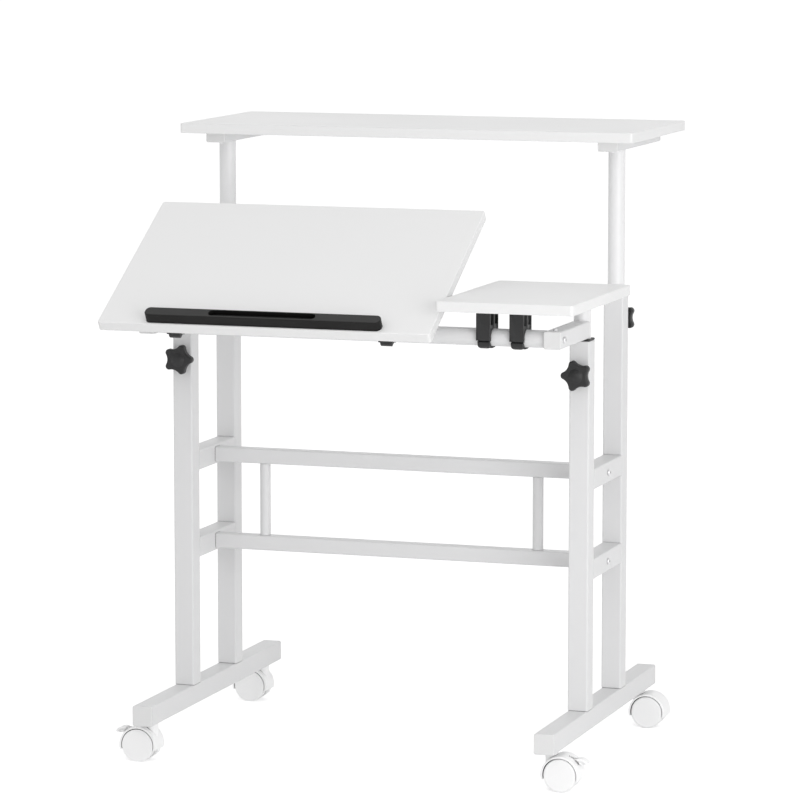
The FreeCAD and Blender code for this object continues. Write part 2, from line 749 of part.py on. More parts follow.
# Monitor carriage
def monitor_carriage():
    """The monitor shelf on two brackets, with the rear posts that carry it."""
    caps = []
    screws = []
    holes = []
    for side, sign in SIDES:
        x = "%s * foot_pitch / 2" % sign
        length = "(bracket_length - 2 * cap_flange)"
        tube = rectangular_tube("Y", length, "bracket_width", "bracket_height")
        put(tube, x, BRACKET_Y, BRACKET_Z)
        bracket_holes = []
        for outward in ("-1", "1"):
            end = "(%s + %s * %s / 2)" % (BRACKET_Y, outward, length)
            caps.append(tube_cap("bracket_width", "bracket_height", "cap_plug", outward, x, end, BRACKET_Z))
            screw_y = "(%s + %s * (bracket_length / 2 - bracket_screw_inset))" % (BRACKET_Y, outward)
            bracket_holes.append(rod("bracket_screw_diameter + 2 * running_fit", "bracket_height + overrun",
                                     "Z", x, screw_y, BRACKET_Z))
            holes.append(rod("bracket_screw_diameter", "2 * screw_bite", "Z", x, screw_y, MONITOR_UNDER))
            screws.append(bracket_screw(x, screw_y))
        piece(cut(tube, *bracket_holes), side + "_shelf_bracket")
        post_top = "(%s - bracket_height)" % MONITOR_UNDER
        post(side + "_rear_post", sign, REAR_LEG_Y, "rear_post_bottom", post_top)
    flat = put(board("monitor_width", "monitor_depth"), "0", "%s + monitor_depth / 2" % MONITOR_FRONT,
               "%s + board_thickness / 2" % MONITOR_UNDER)
    piece(cut(flat, *holes), "monitor_shelf")
    piece(group(*caps), "bracket_caps")
    piece(group(*screws), "bracket_screws")
    post_guides("rear_post_guides", REAR_LEG_Y, "rear_post_bottom")


def bracket_screw(x, y):
    """A screw up through a bracket into the monitor shelf."""
    length = "(bracket_height + screw_bite)"
    bottom = "(%s - bracket_height)" % MONITOR_UNDER
    head = screw_head("bracket_screw", -UP, x, y, bottom)
    return fused(head, rod("bracket_screw_diameter", length, "Z", x, y, "%s + %s / 2" % (bottom, length)))


# Clamp knobs
def star_outline(sketch):
    """Draw five round lobes joined by tangent valleys."""
    lobes = 5
    ring = number("knob_lobe_ring")
    lobe = number("knob_lobe")
    valley = number("knob_valley")
    half_turn = math.pi / lobes
    aside = ring * math.sin(half_turn)
    valley_ring = ring * math.cos(half_turn) + math.sqrt((lobe + valley) ** 2 - aside ** 2)

    def around(radius, angle):
        return Vector(radius * math.cos(angle), radius * math.sin(angle))

    def direction(start, end):
        return math.atan2(end.y - start.y, end.x - start.x)

    def arc(middle, radius, start, end):
        circle = Part.Circle(middle, UP, radius)
        sketch.addGeometry(Part.ArcOfCircle(circle, direction(middle, start), direction(middle, end)))

    for place in range(lobes):
        angle = 2 * place * half_turn
        lobe_middle = around(ring, angle)
        valley_middle = around(valley_ring, angle + half_turn)
        arc(lobe_middle, lobe, around(valley_ring, angle - half_turn), valley_middle)
        arc(valley_middle, valley, around(ring, angle + 2 * half_turn), lobe_middle)


def knob(turn):
    """A star knob about its own axis, which leaves the leg's face at the origin along +Z."""
    body = document.addObject("PartDesign::Body", "Star")
    sketch = new_sketch(body, "Z")
    star_outline(sketch)
    pad = body.newObject("PartDesign::Pad", "Pad")
    pad.Profile = sketch
    bind(pad, Length="knob_thickness")
    document.recompute()
    flats = ["Face%d" % (place + 1) for place, face in enumerate(pad.Shape.Faces)
             if abs(face.normalAt(0, 0).z) > 0.99]
    edges = body.newObject("PartDesign::Fillet", "RoundRims")
    edges.Base = (pad, flats)
    bind(edges, Radius="knob_round")
    hub_start = "(knob_boss_height + free_gap)"
    star_start = "(%s + knob_hub_length)" % hub_start
    star_top = "(%s + knob_thickness)" % star_start
    put(turned(body, UP, turn), "0", "0", star_start)
    hub = rod("knob_hub", "knob_hub_length + knob_round", "Z", "0", "0",
              "%s + (knob_hub_length + knob_round) / 2" % hub_start)
    dome_radius = "((knob_dome ^ 2 / 4 + knob_dome_rise ^ 2) / (2 * knob_dome_rise))"
    dome = bind(document.addObject("Part::Sphere", "Dome"), Radius=dome_radius,
                Angle1="acos(knob_dome / 2 / %s)" % dome_radius)
    put(dome, "0", "0", "%s + knob_dome_rise - %s" % (star_top, dome_radius))
    reach = "(tube_size / 2 - post_diameter / 2 - free_gap)"
    screw_length = "(%s + %s)" % (reach, star_start)
    screw = rod("knob_screw", screw_length, "Z", "0", "0", "(%s - %s) / 2" % (star_start, reach))
    return fused(body, hub, dome, screw)


def knobs():
    """A knob on the front face of each front leg and on the rear face of each rear leg."""
    for place, y, outward in LEG_PAIRS:
        for side, sign in SIDES:
            item = group(knob(side + "_knob_turn"))
            item.Placement = Placement(Vector(), Rotation(UP, Vector(0, float(outward), 0)))
            face = "%s + %s * tube_size / 2" % (y, outward)
            put(item, "%s * foot_pitch / 2" % sign, face, knob_height(place))
            piece(item, "%s_%s_knob" % (side, place))


# Casters
def hood(braked):
    """A caster's hood about its stem, with its wheels trailing along -X."""
    x = "-caster_trail"
    pocket_diameter = "(wheel_diameter + 2 * wheel_gap)"
    pocket_width = "(web_gap + wheel_width + overrun)"
    outside = "(%s + 2 * hood_wall)" % pocket_diameter
    width = "(caster_web + 2 * web_gap + 2 * wheel_width)"
    shell = rounded(rod(outside, width, "Y", x, "0", WHEEL_Z), "hood_round", *RIMS)
    boss_height = "(%s - swivel_gap - %s)" % (FOOT_UNDER, WHEEL_Z)
    boss = rod("stem_boss", boss_height, "Z", "0", "0", "%s + %s / 2" % (WHEEL_Z, boss_height))
    span = "(2 * %s)" % outside
    skirt_z = "%s - hood_skirt - wheel_diameter / 2" % WHEEL_Z
    across_web = "(caster_web + overrun)"
    stem_hole = "2 * (stem_depth + free_gap)"
    tools = [block(span, across_web, "2 * web_rise", x, "0", "0"),
             block(span, across_web, "wheel_diameter", "%s - web_reach - %s / 2" % (x, span), "0", skirt_z),
             rod("stem_diameter + 2 * running_fit", stem_hole, "Z", "0", "0", FOOT_UNDER),
             rod("axle_diameter + 2 * running_fit", across_web, "Y", x, "0", WHEEL_Z)]
    for side in ("-1", "1"):
        y = "%s * (caster_web + %s) / 2" % (side, pocket_width)
        tools.append(rod(pocket_diameter, pocket_width, "Y", x, y, WHEEL_Z))
        tools.append(block(span, pocket_width, "wheel_diameter", x, y, skirt_z))
    if braked:
        tools += brake_space()
    return cut(fused(shell, boss), *tools)


def brake_space():
    """The slot in a hood that the brake lever's tail swings in, and the holes of its pin."""
    length = "wheel_diameter"
    start = "%s + brake_heel + brake_heel_room" % BRAKE_PIN_X
    slot = block(length, "brake_tail_width + 2 * free_gap", length, "%s - %s / 2" % (start, length), "0",
                 "%s - brake_drop + %s / 2" % (BRAKE_PIN_Z, length))
    pin = rod("brake_pin + 2 * running_fit", "caster_web + overrun", "Y", BRAKE_PIN_X, "0", BRAKE_PIN_Z)
    return [slot, pin]


def brake_lever():
    """A curved paddle outside the hood on a tail with a moulded pin, pressed down to brake the wheels."""
    curve_x = "(%s - brake_curve_reach)" % BRAKE_PIN_X
    curve_z = "(%s - brake_curve_drop)" % BRAKE_PIN_Z
    sector = bind(document.addObject("Part::Cylinder", "Sector"), Radius="brake_curve", Height="brake_width",
                  Angle="brake_sweep")
    sector.Placement = Placement(Vector(), TURNS["Y"] * Rotation(UP, 180 + number("brake_tip_angle")))
    put(sector, curve_x, "-brake_width / 2", curve_z)
    inside = rod("2 * (brake_curve - brake_thickness)", "brake_width + overrun", "Y", curve_x, "0", curve_z)
    paddle = rounded(cut(sector, inside), "brake_round", *range(1, 13))
    tail = block("brake_tail", "brake_tail_width", "brake_tail_height",
                 "%s + brake_heel - brake_tail / 2" % BRAKE_PIN_X, "0", BRAKE_PIN_Z)
    return fused(paddle, tail, rod("brake_pin", "caster_web", "Y", BRAKE_PIN_X, "0", BRAKE_PIN_Z))


def wheel_pair():
    """Two wheels pressed on one axle."""
    x = "-caster_trail"
    solids = [rod("axle_diameter", "caster_web + 2 * web_gap + 2 * axle_bite", "Y", x, "0", WHEEL_Z)]
    for side in ("-1", "1"):
        middle = "%s * (caster_web / 2 + web_gap + wheel_width / 2)" % side
        tyre = rounded(rod("wheel_diameter", "wheel_width", "Y", x, middle, WHEEL_Z), "wheel_round", *RIMS)
        seat = rod("axle_diameter", "caster_web + 2 * web_gap + 2 * axle_bite", "Y", x, "0", WHEEL_Z)
        solids.append(cut(tyre, seat))
    return group(*solids)


def casters():
    """Four casters under the feet's ends, the front two with brakes."""
    for place, y in (("front", FRONT_CASTER_Y), ("rear", REAR_CASTER_Y)):
        braked = place == "front"
        for side, sign in SIDES:
            made = [(group(hood(braked)), "caster_hood"), (wheel_pair(), "wheel_pair")]
            if braked:
                made.append((group(brake_lever()), "brake_lever"))
            for item, name in made:
                turned(item, UP, side + "_caster_yaw")
                piece(put(item, "%s * foot_pitch / 2" % sign, y, "0"), "%s_%s_%s" % (side, place, name))


def write_pieces():
    """Check every object and piece, then write one file for each piece."""
    document.recompute()
    for item in document.Objects:
        if "Invalid" in item.State or "Error" in item.State:
            raise RuntimeError("%s failed: %s" % (item.Label, item.State))
    for item in pieces:
        if item.Shape.isNull() or not item.Shape.isValid():
            raise RuntimeError("%s has no valid shape" % item.Label)
    os.makedirs("parts", exist_ok=True)
    for item in pieces:
        item.Shape.exportStep("parts/%s.step" % item.Label)
    print("%d pieces written" % len(pieces))


feet()
legs()
rungs_and_cross_bars()
desk_posts()
side_bars()
side_shelf()
tilting_board()
monitor_carriage()
knobs()
casters()
write_pieces()
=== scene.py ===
"""Finishes, fine mouldings, fasteners and a plain studio for a rolling desk with a tilting board."""

import json
import math

import bmesh
import bpy
from bpy.props import FloatProperty, FloatVectorProperty, PointerProperty
from mathutils import Matrix, Vector


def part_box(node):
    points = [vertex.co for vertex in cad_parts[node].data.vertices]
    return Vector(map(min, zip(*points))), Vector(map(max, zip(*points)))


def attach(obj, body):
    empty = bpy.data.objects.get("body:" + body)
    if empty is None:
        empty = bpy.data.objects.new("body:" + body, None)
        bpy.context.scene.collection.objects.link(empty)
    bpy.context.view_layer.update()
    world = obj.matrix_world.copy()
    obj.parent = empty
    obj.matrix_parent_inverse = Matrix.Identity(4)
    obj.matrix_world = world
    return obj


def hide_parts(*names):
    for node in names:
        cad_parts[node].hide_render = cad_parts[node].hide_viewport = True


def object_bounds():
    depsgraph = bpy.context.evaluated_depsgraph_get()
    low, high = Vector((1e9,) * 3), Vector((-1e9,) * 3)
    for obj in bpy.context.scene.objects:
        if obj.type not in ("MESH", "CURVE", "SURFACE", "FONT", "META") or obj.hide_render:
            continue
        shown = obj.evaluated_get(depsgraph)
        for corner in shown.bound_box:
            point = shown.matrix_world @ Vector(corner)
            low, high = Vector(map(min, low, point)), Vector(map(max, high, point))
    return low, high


bl_info = {
    "name": "Rolling Desk Finishes",
    "version": (1, 0, 0),
    "blender": (4, 5, 0),
    "location": "View3D > Sidebar > Desk",
    "description": "Gives a rolling sit-stand desk its finishes, fasteners and studio",
    "category": "Object",
}

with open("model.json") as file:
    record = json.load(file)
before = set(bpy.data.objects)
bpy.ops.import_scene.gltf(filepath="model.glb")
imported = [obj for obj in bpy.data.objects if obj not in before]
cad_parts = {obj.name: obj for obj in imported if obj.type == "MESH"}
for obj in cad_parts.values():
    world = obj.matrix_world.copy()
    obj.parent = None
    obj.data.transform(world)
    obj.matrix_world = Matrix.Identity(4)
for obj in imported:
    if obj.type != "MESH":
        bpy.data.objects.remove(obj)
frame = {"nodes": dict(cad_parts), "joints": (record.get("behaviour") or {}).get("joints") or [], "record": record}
CAD_BOX = [list(corner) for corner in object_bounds()]
SIDES = {"left": -1, "right": 1}

# Nodes of the tube clips, and the body that each rides on
CLIPS = {
    "shelf_clips": "desk_carriage",
    "left_tilt_clip": "tilting_board",
    "right_tilt_clip": "tilting_board",
}

# Cutters of the hooks, in radii of the tube
CUTTER_REACH = 3
CUTTER_SPARE = 0.25

# Ends of the arc of a brake lever's paddle, and the depth of the rib's toe by that of its heel
PADDLE_TIP = math.radians(33)
PADDLE_CREST = math.radians(105)
TOE_DROP = 1.1

# Shape of a socket bolt: crown's radius by head's width, rim's height by rise, socket's floor by its mouth
CROWN_SHARE = 0.36
RIM_SHARE = 0.25
SOCKET_TAPER = 0.9

# Fineness of round forms, of joined meshes and of shader effects
BEND_STEPS = 10
CORNER_STEPS = 8
PADDLE_STEPS = 10
DOME_STEPS = 7
BOLT_SIDES = 40
WELD_DISTANCE = 1e-6
SHARP_ANGLE = math.radians(35)
SHADER_RAYS = 6

# Sizes and places of the lamps in metres, by the setting that gives their power
LAMPS = {
    "key": {"width": 1.6, "height": 1.6, "place": (1.95, -1.75, 0.72)},
    "top": {"width": 2.4, "height": 2.0, "place": (-0.5, -2.6, 2.9)},
    "back": {"width": 3.0, "height": 1.6, "place": (-1.2, 3.4, 1.0)},
}

# Half the floor's width, the strength of its own glow, and how far the camera sees
FLOOR_HALF = 60.0
FLOOR_GLOW = 0.43
VIEW_REACH = 200.0


# Sizes and colours that a user would change
def colour(name, description, default):
    """A colour property."""
    return FloatVectorProperty(name=name, description=description, subtype="COLOR", size=3,
                               min=0, max=1, default=default)


def length(name, description, default):
    """A length property in metres."""
    return FloatProperty(name=name, description=description, unit="LENGTH", precision=4,
                         min=0, default=default)


def angle(name, description, default):
    """An angle property, its default in degrees."""
    return FloatProperty(name=name, description=description, subtype="ANGLE",
                         default=math.radians(default))


def power(name, description, default):
    """A lamp's power in watts."""
    return FloatProperty(name=name, description=description, subtype="POWER", default=default)


class DeskFinishes(bpy.types.PropertyGroup):
    """Colours of the desk's materials."""

    board: colour("Board", "White laminate of the boards and shelves", (0.9, 0.9, 0.9))
    band: colour("Edge band", "Plastic strip on the edges of the boards", (0.81, 0.81, 0.81))
    steel: colour("Steel", "Powder coat of the tubes and bars", (0.73, 0.73, 0.735))
    post: colour("Post", "Hard smooth paint of the sliding posts", (0.8, 0.8, 0.805))
    black: colour("Black", "Moulded plastic of the knobs, clips and bushings", (0.013, 0.013, 0.0136))
    stop: colour("Stop bar", "Dull plastic of the stop bar", (0.0075, 0.0073, 0.007))
    # Painted light: the top of the stop bar takes a paler black than its sides, as if lit from above
    stop_lit_top: colour("Stop bar's painted lit top", "Top of the stop bar, painted paler as if lit from above", (0.04, 0.04, 0.0395))
    cap: colour("Cap", "White plastic of the end caps", (0.74, 0.74, 0.74))
    hood: colour("Hood", "White plastic of the caster hoods and brake levers", (0.95, 0.95, 0.952))
    wheel: colour("Wheel", "Plastic of the caster wheels", (0.93, 0.93, 0.932))
    zinc: colour("Zinc", "Plating of the bolts, screws and stems", (0.84, 0.84, 0.85))


class DeskBolts(bpy.types.PropertyGroup):
    """Sizes of the socket bolts."""

    head: length("Bolt head", "Diameter of a bolt's round head", 0.009)
    rise: length("Bolt rise", "Height of a bolt's head", 0.003)
    socket: length("Bolt socket", "Corner to corner width of the hexagon socket", 0.0036)
    socket_depth: length("Socket depth", "Depth of the hexagon socket", 0.0018)
    shank: length("Bolt shank", "Diameter of a bolt", 0.006)


class DeskHooks(bpy.types.PropertyGroup):
    """Sizes of the hooks under the tube clips."""

    skirt: length("Skirt", "How far a clip's front reaches below the tube's middle", 0.0037)
    slit: length("Slit", "Height of the slit between a clip's front and its hook", 0.0013)
    web: length("Web", "Thickness that is left behind the slit", 0.0009)
    wall: length("Wall", "Thickness of a hook before the tube", 0.0031)
    foot: length("Foot", "How far a hook's round edges reach below the tube's middle", 0.01545)
    bend: length("Bend", "Radius of the bend between a hook's front and its foot", 0.0075)
    inset: length("Inset", "How much narrower a hook is than its clip on each side", 0.0015)
    corner: length("Corner", "Radius of the lower corners of a hook", 0.005)


class DeskLevers(bpy.types.PropertyGroup):
    """Sizes of the rib that fills the hollow under a brake lever's paddle."""

    curve: length("Curve", "Radius of the paddle along the middle of its thickness", 0.01225)
    reach: length("Reach", "How far the curve's middle lies outside the lever's pin", 0.0145)
    drop: length("Drop", "How far the curve's middle lies below the lever's pin", 0.0105)
    inset: length("Inset", "How much narrower the rib is than the paddle on each side", 0.0009)
    heel: length("Heel", "How far the rib's inner end lies outside the lever's pin", 0.0145)
    depth: length("Depth", "How far the rib reaches below the lever's pin", 0.0047)


class DeskStudio(bpy.types.PropertyGroup):
    """Camera and light."""

    camera_place: FloatVectorProperty(name="Camera place", description="Where the camera stands", size=3,
                                      subtype="TRANSLATION", unit="LENGTH",
                                      default=(1.981, -5.886, 1.334))
    camera_turn: angle("Camera turn", "Turn of the camera to the left of straight ahead", 18.586)
    camera_dip: angle("Camera dip", "How far the camera looks down", 7.502)
    camera_lens: FloatProperty(name="Lens", description="Focal length in millimetres", unit="CAMERA",
                               default=191.05)
    floor: colour("Floor", "Colour of the floor", (0.9, 0.9, 0.9))
    sky: FloatProperty(name="Sky", description="Strength of the light from all around", min=0,
                       default=0.72)
    key: power("Key light", "Power of the large light at the front right", 25.0)
    top: power("Top light", "Power of the wide light high at the front", 10.0)
    back: power("Back light", "Power of the soft light behind", 2.0)


# Shader node groups that several finishes share
def new_group(name, inputs, outputs):
    """An empty node group with named sockets, and its input and output nodes."""
    tree = bpy.data.node_groups.new(name, "ShaderNodeTree")
    for label, kind, value in inputs:
        tree.interface.new_socket(label, in_out="INPUT", socket_type=kind).default_value = value
    for label, kind in outputs:
        tree.interface.new_socket(label, in_out="OUTPUT", socket_type=kind)
    start = tree.nodes.new("NodeGroupInput")
    end = tree.nodes.new("NodeGroupOutput")
    return tree, start, end


def map_range(tree, low, high, to_low=0.0, to_high=1.0):
    """A node that stretches the values between two limits to fill another range."""
    node = tree.nodes.new("ShaderNodeMapRange")
    node.inputs["From Min"].default_value = low
    node.inputs["From Max"].default_value = high
    node.inputs["To Min"].default_value = to_low
    node.inputs["To Max"].default_value = to_high
    return node


def speckle_group():
    """Fine relief in the object's own space, as a height, and a slow drift over the whole surface."""
    tree, start, end = new_group("Speckle and drift",
                                 (("Grain per metre", "NodeSocketFloat", 900.0),
                                  ("Drift per metre", "NodeSocketFloat", 5.0)),
                                 (("Height", "NodeSocketFloat"), ("Drift", "NodeSocketFloat")))
    place = tree.nodes.new("ShaderNodeTexCoord")
    grain = tree.nodes.new("ShaderNodeTexNoise")
    grain.inputs["Detail"].default_value = 3.0
    grain.inputs["Roughness"].default_value = 0.55
    drift = tree.nodes.new("ShaderNodeTexNoise")
    drift.inputs["Detail"].default_value = 4.0
    for noise, scale, output in ((grain, "Grain per metre", "Height"), (drift, "Drift per metre", "Drift")):
        tree.links.new(place.outputs["Object"], noise.inputs["Vector"])
        tree.links.new(start.outputs[scale], noise.inputs["Scale"])
        tree.links.new(noise.outputs["Fac"], end.inputs[output])
    return tree


def soft_edge_group():
    """A normal that rounds sharp edges, and a mask of where those edges are."""
    tree, start, end = new_group("Soft edges",
                                 (("Radius", "NodeSocketFloat", 0.0008),),
                                 (("Normal", "NodeSocketVector"), ("Edge", "NodeSocketFloat")))
    bevel = tree.nodes.new("ShaderNodeBevel")
    bevel.samples = SHADER_RAYS
    surface = tree.nodes.new("ShaderNodeNewGeometry")
    agree = tree.nodes.new("ShaderNodeVectorMath")
    agree.operation = "DOT_PRODUCT"
    edge = map_range(tree, low=1.0, high=0.8)
    tree.links.new(start.outputs["Radius"], bevel.inputs["Radius"])
    tree.links.new(bevel.outputs["Normal"], agree.inputs[0])
    tree.links.new(surface.outputs["Normal"], agree.inputs[1])
    tree.links.new(agree.outputs["Value"], edge.inputs["Value"])
    tree.links.new(bevel.outputs["Normal"], end.inputs["Normal"])
    tree.links.new(edge.outputs["Result"], end.inputs["Edge"])
    return tree


def painted_crevice_shade_group():
    """A mask of the narrow corners where two surfaces meet, for painting shade into them."""
    tree, start, end = new_group("Crevices",
                                 (("Reach", "NodeSocketFloat", 0.002),),
                                 (("Crevice", "NodeSocketFloat"),))
    open_sky = tree.nodes.new("ShaderNodeAmbientOcclusion")
    open_sky.samples = SHADER_RAYS
    closed = map_range(tree, low=0.85, high=0.4)
    tree.links.new(start.outputs["Reach"], open_sky.inputs["Distance"])
    tree.links.new(open_sky.outputs["AO"], closed.inputs["Value"])
    tree.links.new(closed.outputs["Result"], end.inputs["Crevice"])
    return tree


def edge_band_group():
    """A mask of a board's edges: every face that doesn't look along the board's own thickness."""
    tree, start, end = new_group("Edge band",
                                 (("Thickness direction", "NodeSocketVector", (0.0, 0.0, 1.0)),),
                                 (("Band", "NodeSocketFloat"),))
    place = tree.nodes.new("ShaderNodeTexCoord")
    agree = tree.nodes.new("ShaderNodeVectorMath")
    agree.operation = "DOT_PRODUCT"
    size = tree.nodes.new("ShaderNodeMath")
    size.operation = "ABSOLUTE"
    band = map_range(tree, low=0.75, high=0.65)
    tree.links.new(place.outputs["Normal"], agree.inputs[0])
    tree.links.new(start.outputs["Thickness direction"], agree.inputs[1])
    tree.links.new(agree.outputs["Value"], size.inputs[0])
    tree.links.new(size.outputs["Value"], band.inputs["Value"])
    tree.links.new(band.outputs["Result"], end.inputs["Band"])
    return tree


def shared_group(name, build):
    """A node group by name, built the first time that it is asked for."""
    return bpy.data.node_groups.get(name) or build()


# Finishes
class Finish:
    """A material under construction: a Principled shader fed by the shared groups."""

    def __init__(self, name, grain, drift, edge_radius):
        self.material = bpy.data.materials.new(name)
        self.material.use_nodes = True
        self.tree = self.material.node_tree
        self.shader = self.tree.nodes["Principled BSDF"]
        self.speckle = self.group("Speckle and drift", speckle_group)
        self.speckle.inputs["Grain per metre"].default_value = grain
        self.speckle.inputs["Drift per metre"].default_value = drift
        self.edges = self.group("Soft edges", soft_edge_group)
        self.edges.inputs["Radius"].default_value = edge_radius

    def group(self, name, build):
        """Place a shared group in the material."""
        node = self.tree.nodes.new("ShaderNodeGroup")
        node.node_tree = shared_group(name, build)
        return node

    def tint(self, base, drift_share, edge_highlight_share):
        """Base colour that drifts a little darker in places, with a painted highlight that makes it a little
        lighter along edges.
        """
        shade = self.tree.nodes.new("ShaderNodeMix")
        shade.data_type = "RGBA"
        shade.inputs["A"].default_value = (*[part * (1 - drift_share) for part in base], 1)
        shade.inputs["B"].default_value = (*base, 1)
        light = self.tree.nodes.new("ShaderNodeMix")
        light.data_type = "RGBA"
        # Painted highlight: the edges take a lighter copy of the base colour
        light.inputs["B"].default_value = (*[part + (1 - part) * edge_highlight_share for part in base], 1)
        self.tree.links.new(self.speckle.outputs["Drift"], shade.inputs["Factor"])
        self.tree.links.new(shade.outputs["Result"], light.inputs["A"])
        self.tree.links.new(self.edges.outputs["Edge"], light.inputs["Factor"])
        self.tree.links.new(light.outputs["Result"], self.shader.inputs["Base Color"])
        return self

    def mixed(self, share, tone):
        """Lay another tone over the base colour wherever a mask says so."""
        under = self.shader.inputs["Base Color"].links[0].from_socket
        lay = self.tree.nodes.new("ShaderNodeMix")
        lay.data_type = "RGBA"
        lay.inputs["B"].default_value = (*tone, 1)
        self.tree.links.new(share, lay.inputs["Factor"])
        self.tree.links.new(under, lay.inputs["A"])
        self.tree.links.new(lay.outputs["Result"], self.shader.inputs["Base Color"])
        return self

    def painted_crevice_shade(self, base, depth, reach=0.002):
        """Paint shade into the narrow corners where pieces meet, darkening the base colour there."""
        crevice_shade = self.group("Crevices", painted_crevice_shade_group)
        crevice_shade.inputs["Reach"].default_value = reach
        return self.mixed(crevice_shade.outputs["Crevice"], [part * (1 - depth) for part in base])

    def banded(self, tone, direction):
        """Give the faces round a board or bar, beside its thickness direction, a tone of their own."""
        band = self.group("Edge band", edge_band_group)
        band.inputs["Thickness direction"].default_value = direction
        return self.mixed(band.outputs["Band"], tone)

    def gloss(self, smoothest, roughest):
        """Roughness that follows the drift between two values."""
        spread = map_range(self.tree, low=0.3, high=0.7, to_low=smoothest, to_high=roughest)
        self.tree.links.new(self.speckle.outputs["Drift"], spread.inputs["Value"])
        self.tree.links.new(spread.outputs["Result"], self.shader.inputs["Roughness"])
        return self

    def relief(self, strength, depth):
        """Bump from the fine grain, on top of the softened edges."""
        bump = self.tree.nodes.new("ShaderNodeBump")
        bump.inputs["Strength"].default_value = strength
        bump.inputs["Distance"].default_value = depth
        self.tree.links.new(self.speckle.outputs["Height"], bump.inputs["Height"])
        self.tree.links.new(self.edges.outputs["Normal"], bump.inputs["Normal"])
        self.tree.links.new(bump.outputs["Normal"], self.shader.inputs["Normal"])
        return self


def laminate(name, base, band, direction):
    """White laminate with a fine pearl texture, and a plastic strip round its edges."""
    finish = Finish(name, grain=1400.0, drift=4.0, edge_radius=0.0006)
    # Painted highlight along the edges, and painted shade in the corners where pieces meet
    finish.tint(base, drift_share=0.025, edge_highlight_share=0.1)
    finish.banded(band, direction).painted_crevice_shade(base, depth=0.35)
    finish.gloss(smoothest=0.36, roughest=0.5).relief(strength=0.12, depth=0.0002)
    finish.shader.inputs["Specular IOR Level"].default_value = 0.42
    return finish


def powder_coat(base):
    """Baked powder coat with the soft orange peel of sprayed steel."""
    finish = Finish("White powder coat", grain=620.0, drift=7.0, edge_radius=0.0009)
    # Painted highlight along the edges, and painted shade in the corners where pieces meet
    finish.tint(base, drift_share=0.03, edge_highlight_share=0.04).painted_crevice_shade(base, depth=0.5)
    return finish.gloss(smoothest=0.36, roughest=0.52).relief(strength=0.2, depth=0.0003)


def post_paint(base):
    """Smooth hard paint of the sliding posts."""
    finish = Finish("White post paint", grain=900.0, drift=9.0, edge_radius=0.0006)
    # Painted highlight along the edges
    finish.tint(base, drift_share=0.03, edge_highlight_share=0.04)
    return finish.gloss(smoothest=0.3, roughest=0.42).relief(strength=0.08, depth=0.0002)


def black_plastic(name, base, shine):
    """Black plastic from a spark-eroded mould, with a painted highlight that makes it a little brighter along its
    edges.
    """
    finish = Finish(name, grain=2600.0, drift=30.0, edge_radius=0.0008)
    finish.shader.inputs["Specular IOR Level"].default_value = shine
    finish.tint(base, drift_share=0.25, edge_highlight_share=0.06)
    return finish.gloss(smoothest=0.42, roughest=0.6).relief(strength=0.3, depth=0.0002)


def white_plastic(name, base):
    """Smooth white plastic with faint flow marks."""
    finish = Finish(name, grain=260.0, drift=22.0, edge_radius=0.0006)
    # Painted highlight along the edges
    finish.tint(base, drift_share=0.03, edge_highlight_share=0.04)
    return finish.gloss(smoothest=0.28, roughest=0.42).relief(strength=0.08, depth=0.0003)


def zinc_plate(base):
    """Bright zinc plating with a slight haze."""
    finish = Finish("Zinc plate", grain=1800.0, drift=160.0, edge_radius=0.0004)
    finish.shader.inputs["Metallic"].default_value = 1.0
    # Strong painted highlight along the edges
    finish.tint(base, drift_share=0.25, edge_highlight_share=0.3)
    return finish.gloss(smoothest=0.24, roughest=0.42).relief(strength=0.15, depth=0.0001)


def coat(nodes, finish):
    """Give CAD nodes a finish."""
    for name in nodes:
        slots = frame["nodes"][name].data.materials
        slots.clear()
        slots.append(finish.material)


def nodes_of_slot(slot):
    """The CAD nodes that the record gives one material slot."""
    return [part["node"] for part in frame["record"]["subparts"] if part["material_slot"] == slot]


# Shapes that the CAD gives
def board_direction():
    """The direction in which the tilting board's top looks."""
    widest = max(frame["nodes"]["desk_board"].data.polygons, key=lambda face: face.area).normal
    return widest if widest.z > 0 else -widest


def clip_tube():
    """The middle and the radius of the tube that the clips hang on."""
    low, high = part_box("pivot_tube")
    return (low + high) / 2, (high.z - low.z) / 2


def widths(node, gap):
    """The stretches along X that a node's solids fill, from left to right."""
    places = sorted(vertex.co.x for vertex in frame["nodes"][node].data.vertices)
    breaks = [step for step in range(1, len(places)) if places[step] - places[step - 1] > gap]
    return [(places[first], places[last - 1])
            for first, last in zip([0, *breaks], [*breaks, len(places)])]


# Meshes and pieces
def arc(radius, start, end, steps):
    """Points of an arc about the origin, from one angle to another."""
    turns = [start + (end - start) * step / steps for step in range(steps + 1)]
    return [(radius * math.cos(turn), radius * math.sin(turn)) for turn in turns]


def prism(outline, from_x, to_x):
    """A closed mesh of an outline, given as (y, z) or as (outward, up), pulled along X."""
    mesh = bmesh.new()
    face = mesh.faces.new([mesh.verts.new((from_x, y, z)) for y, z in outline])
    made = bmesh.ops.extrude_face_region(mesh, geom=[face])["geom"]
    far = [item for item in made if isinstance(item, bmesh.types.BMVert)]
    bmesh.ops.translate(mesh, verts=far, vec=(to_x - from_x, 0, 0))
    bmesh.ops.recalc_face_normals(mesh, faces=mesh.faces)
    for face in mesh.faces:
        face.smooth = True
    return mesh


def across(sign, x, z):
    """A transform for a prism of an (outward, up) outline: pulled along Y, looking to one side from x."""
    return Matrix(((0, sign, 0, x), (1, 0, 0, 0), (0, 0, 1, z), (0, 0, 0, 1)))


def standing(place, direction):
    """A transform whose +Z points along a direction from a place."""
    return Matrix.Translation(place) @ Vector(direction).to_track_quat("Z", "Y").to_matrix().to_4x4()


